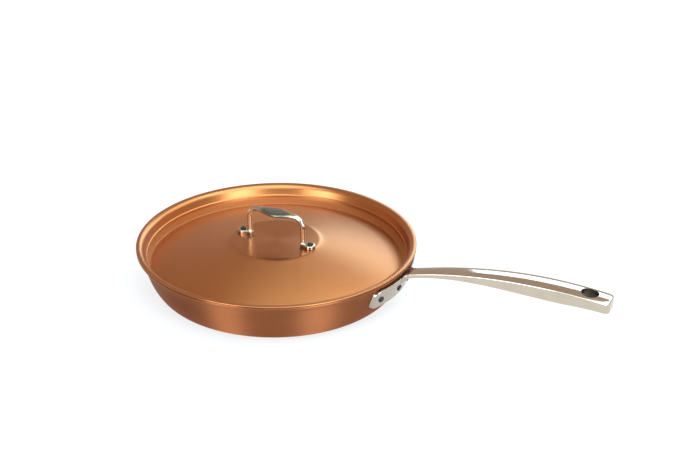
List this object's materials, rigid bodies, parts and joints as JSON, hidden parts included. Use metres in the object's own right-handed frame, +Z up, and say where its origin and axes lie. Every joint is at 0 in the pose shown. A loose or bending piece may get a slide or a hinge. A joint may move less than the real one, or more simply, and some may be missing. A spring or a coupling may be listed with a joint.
{
  "type": "frying pan with lid",
  "caption": "Round copper frying pan with a long arched cast steel handle, and a domed copper lid with a bail grip that seats in the pouring lip and lifts off.",
  "frame": {"origin": "centre of the pan's flat base, on its underside", "axes": "+X from the pan's axis along its handle, +Z up through the lid"},
  "size_m": [0.4851, 0.2802, 0.0828],
  "materials": {
    "copper": "satin brushed copper",
    "lining_steel": "satin stainless steel",
    "cast_steel": "polished cast stainless steel",
    "rivet_steel": "dark upset rivet ends"
  },
  "bodies": {
    "pan": {"pan_shell": "copper", "pan_lining": "lining_steel", "pan_handle": "cast_steel", "handle_rivet_1": "rivet_steel", "handle_rivet_2": "rivet_steel", "handle_rivet_3": "rivet_steel", "handle_rivet_4": "rivet_steel"},
    "lid": {"lid_shell": "copper", "lid_lining": "lining_steel", "lid_handle": "cast_steel", "lid_rivet_1": "rivet_steel", "lid_rivet_2": "rivet_steel"}
  },
  "joints": [
    {"name": "lid_lift", "type": "slide", "parent": "pan", "child": "lid", "axis": [0, 0, 1], "range_m": [0, 0.12]}
  ]
}
